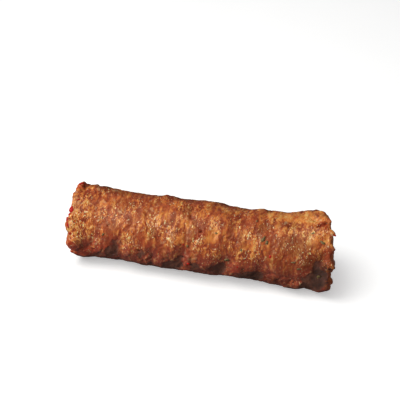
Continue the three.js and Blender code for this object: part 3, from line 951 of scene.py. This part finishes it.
def tinted_colour(finish, marks, grain, colour):
    """The colour with browner and redder places and lighter torn ends, then painted shade: a bluish
    fill low down, and shade on the crest, in recesses, on the lower side, in the hollows and grooves.
    """
    browned_and_shaded = finish.times(marks["browned_and_shaded"], 0.72, clamp=True)
    hollow = finish.ramp(grain["mince"], SHADED_HOLLOW_STOPS)
    shares = {
        # A painted bluish tint of the fill in the shade of the lower side.
        "low": finish.times(marks["low"], 0.20),
        "mottle": finish.spread(grain["mottle"], 0.56, 0.76, 0.0, 0.45),
        "browned_and_shaded": browned_and_shaded,
        "crest": finish.times(marks["crest"], 0.6),
        "sunk_shade": finish.spread(marks["sunk_shade"], 0.3, 1.3, 0.0, 0.6),
        # The torn mince, lighter: partly its own colour and partly painted light against the shade of the
        # ends.
        "torn": finish.times(marks["torn"], 0.5),
        "reddened": finish.times(marks["reddened"], 0.50),
        "painted_shade": finish.spread(marks["painted_shade"], 0.0, 0.7, 0.0, 0.75),
        "hollow": finish.spread(marks["painted_shade"], 0.35, 1.0, 0.0, 0.80),
        # The deepest painted shade, where browner places lie in the painted shade.
        "deepest_shade": finish.times(browned_and_shaded, marks["painted_shade"]),
        "groove": finish.times(marks["groove"], 0.6),
    }
    for name, share in shares.items():
        tint = hollow if name == "hollow" else linear(TINTS[name])
        colour = finish.blend(share, colour, tint)
    return colour


def fat_and_glint_share(finish, marks, grain):
    """Pale fat and painted glints: a few ridges, wet strands and drops, and the glints, but not in the
    painted shade.
    """
    ridges = finish.times(finish.spread(marks["tone"], 0.80, 0.95), finish.spread(marks["ridge"], 0.3, 0.8))
    fibres = finish.spread(grain["fibre"], 0.66, 0.80, 0.0, 0.6)
    strands = finish.larger(fibres, finish.spread(grain["drops"], 0.70, 0.78))
    pale = finish.larger(finish.times(ridges, 0.15), finish.times(strands, grain["lively"]))
    glints = finish.times(marks["glint"], finish.spread(grain["drops"], 0.40, 0.60, 0.1, 0.8))
    pale = finish.larger(pale, glints)
    pale = finish.times(pale, finish.spread(marks["painted_shade"], 0.2, 0.7, 1.0, 0.0))
    return finish.times(pale, finish.spread(marks["crest"], 0.1, 0.6, 1.0, 0.35))


def crust_gloss(finish, marks, grain):
    """Roughness of the crust, and how much oil lies on it."""
    parts = [(marks["wet"], -0.16), (marks["painted_shade"], 0.35), (grain["fine"], 0.3)]
    parts += [(marks["browned_and_shaded"], 0.15), (marks["crest"], 0.35)]
    roughness = finish.weighted(parts, 0.30, clamp=True)
    parts = [(grain["lively"], 0.15), (marks["glint"], 0.5)]
    parts += [(marks["browned_and_shaded"], -0.15), (marks["crest"], -0.3)]
    return roughness, finish.weighted(parts, clamp=True)


def crust_finish():
    """Fried mince: gold over red-brown, browner patches, painted shade low down and in hollows, pale drops
    of fat with painted glints, an oily gloss.
    """
    finish = Finish("fried_mince")
    marks = {name: finish.attribute(name) for name in MARKS}
    grain = crust_grain(finish, marks)
    colour = tinted_colour(finish, marks, grain, fried_colour(finish, marks, grain))
    colour = finish.blend(fat_and_glint_share(finish, marks, grain), colour, linear(TINTS["pale"]))
    roughness, oil = crust_gloss(finish, marks, grain)
    relief = finish.weighted([(grain["mince"], 0.8), (grain["fibre"], 0.6), (grain["fine"], 0.3)])
    bumps = finish.bump(relief, 0.40, 0.5 * MM)
    bumps = finish.bump(finish.times(grain["drops"], grain["lively"]), 0.5, 0.20 * MM, bumps)
    finish.feed(finish.shader, {
        "Base Color": colour,
        "Roughness": roughness,
        "Normal": bumps,
        "Coat Normal": bumps,
        "Coat Weight": oil,
        "Coat Roughness": 0.12,
        "Subsurface Weight": 0.35,
        "Subsurface Radius": (1.0, 0.4, 0.2),
        "Subsurface Scale": 1.0 * MM,
        "Specular IOR Level": 0.32,
        "Specular Tint": (1.0, 0.90, 0.52, 1.0),
    })
    return finish.material


def herb_finish():
    """Dried herb, darker in places."""
    finish = Finish("dried_herb")
    shade = finish.noise(0.5 * MM, 2.0)
    finish.feed(finish.shader, {
        "Base Color": finish.ramp(shade, HERB_STOPS),
        "Roughness": finish.spread(shade, 0.3, 0.7, 0.45, 0.65),
        "Normal": finish.bump(shade, 0.4, 0.1 * MM),
        "Specular IOR Level": 0.25,
    })
    return finish.material


def pepper_finish(name, stops, roughness):
    """Moist red pepper or raw meat, uneven in its red."""
    finish = Finish(name)
    shade = finish.noise(0.8 * MM, 2.0)
    finish.feed(finish.shader, {
        "Base Color": finish.ramp(shade, stops),
        "Roughness": finish.spread(shade, 0.3, 0.7, roughness, roughness + 0.15),
        "Normal": finish.bump(shade, 0.3, 0.15 * MM),
        "Subsurface Weight": 0.2,
        "Subsurface Radius": (1.0, 0.2, 0.1),
        "Subsurface Scale": 0.8 * MM,
        "Specular IOR Level": 0.25,
        "Coat Weight": 0.04,
        "Coat Roughness": 0.15,
    })
    return finish.material


def floor_finish():
    """Matt and pale, with a glow of its own."""
    finish = Finish("pale_floor")
    finish.feed(finish.shader, {
        "Base Color": finish.ramp(finish.noise(FLOOR_GRAIN, 1.0), FLOOR_STOPS),
        "Roughness": 0.9,
        "Specular IOR Level": 0.0,
        "Emission Color": (1, 1, 1, 1),
        "Emission Strength": FLOOR_GLOW,
    })
    return finish.material


def make_floor():
    """The floor, which throws no light back on the stick."""
    mesh = bpy.data.meshes.new("floor")
    corners = [(-1, -1), (1, -1), (1, 1), (-1, 1)]
    mesh.from_pydata([(FLOOR_HALF * x, FLOOR_HALF * y, 0) for x, y in corners], [], [(0, 1, 2, 3)])
    mesh.materials.append(floor_finish())
    floor = add_object("floor", mesh)
    floor.visible_diffuse = False
    floor.visible_glossy = False
    return floor


def sky_place(azimuth, elevation, distance):
    """A place above the floor, seen from the object. Azimuth 0 is straight in front and 90 to the right."""
    turn, rise = math.radians(azimuth), math.radians(elevation)
    level = distance * math.cos(rise)
    return Vector((level * math.sin(turn), -level * math.cos(turn), distance * math.sin(rise)))


def add_light(name, settings):
    """A round lamp that points at the stick."""
    lamp = bpy.data.lights.new(name, "AREA")
    lamp.shape = "DISK"
    lamp.size = settings["size"]
    lamp.energy = settings["power"]
    lamp.color = LAMP_COLOUR
    light = add_object(name, lamp)
    light.location = sky_place(settings["azimuth"], settings["elevation"], LIGHT_DISTANCE)
    light.rotation_mode = "QUATERNION"
    light.rotation_quaternion = (Vector(LIGHT_AIM) - light.location).to_track_quat("-Z", "Y")
    return light


def make_lights(stick, floor):
    """A broad light for all, a key and a weak fill for the stick alone, and one for the floor alone."""
    lit_by = (("key", KEY, stick), ("fill", FILL, stick), ("top", TOP, ()), ("spread", SPREAD, (floor,)))
    for name, settings, pieces in lit_by:
        light = add_light(name, settings)
        if pieces:
            lit = bpy.data.collections.new("lit_by_" + name)
            for piece in pieces:
                lit.objects.link(piece)
            light.light_linking.receiver_collection = lit
    world = bpy.data.worlds.new("soft_room")
    world.use_nodes = True
    room = world.node_tree.nodes["Background"]
    room.inputs["Color"].default_value = ROOM_COLOUR
    room.inputs["Strength"].default_value = ROOM_LIGHT
    bpy.context.scene.world = world


def make_camera(view):
    camera = add_object("camera", bpy.data.cameras.new("camera"))
    camera.data.sensor_width = CAMERA_SENSOR
    camera.data.lens = CAMERA_LENS
    camera.data.clip_start, camera.data.clip_end = CAMERA_CLIP
    camera.location = view.eye
    camera.rotation_mode = "QUATERNION"
    camera.rotation_quaternion = Matrix((view.right, view.up, view.back)).transposed().to_quaternion()
    bpy.context.scene.camera = camera


def dress(piece, material):
    """Gives a piece its finish and lets it ride on the body."""
    piece.data.materials.clear()
    piece.data.materials.append(material)
    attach(piece, "root")


def main():
    rng = np.random.default_rng(SEED)
    view = PhotoView()
    skin, roll = make_skin(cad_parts["meat_stick"], view)
    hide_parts("meat_stick")
    dress(skin, crust_finish())
    tree = surface_tree(skin)
    spots = spots_seen(HERBS_SEEN, view, roll, tree) + spots_drawn(HERBS_DRAWN, roll, tree, rng)
    herbs = scatter("herb_flecks", spots, leaf_shape, *HERB_LAY, rng)
    dress(herbs, herb_finish())
    spots = spots_seen(PEPPERS_SEEN, view, roll, tree) + spots_drawn(PEPPERS_DRAWN, roll, tree, rng)
    peppers = scatter("pepper_flecks", spots, blob_shape, *PEPPER_LAY, rng)
    dress(peppers, pepper_finish("red_pepper", PEPPER_STOPS, 0.3))
    spots = spots_seen(RED_BITS_SEEN, view, roll, tree)
    bits = scatter("red_bits", spots, blob_shape, *RED_BIT_LAY, rng)
    dress(bits, pepper_finish("red_meat", RED_BIT_STOPS, 0.6))
    floor = make_floor()
    make_lights((skin, herbs, peppers, bits), floor)
    make_camera(view)
    bpy.context.scene.view_settings.view_transform = "Standard"


main()
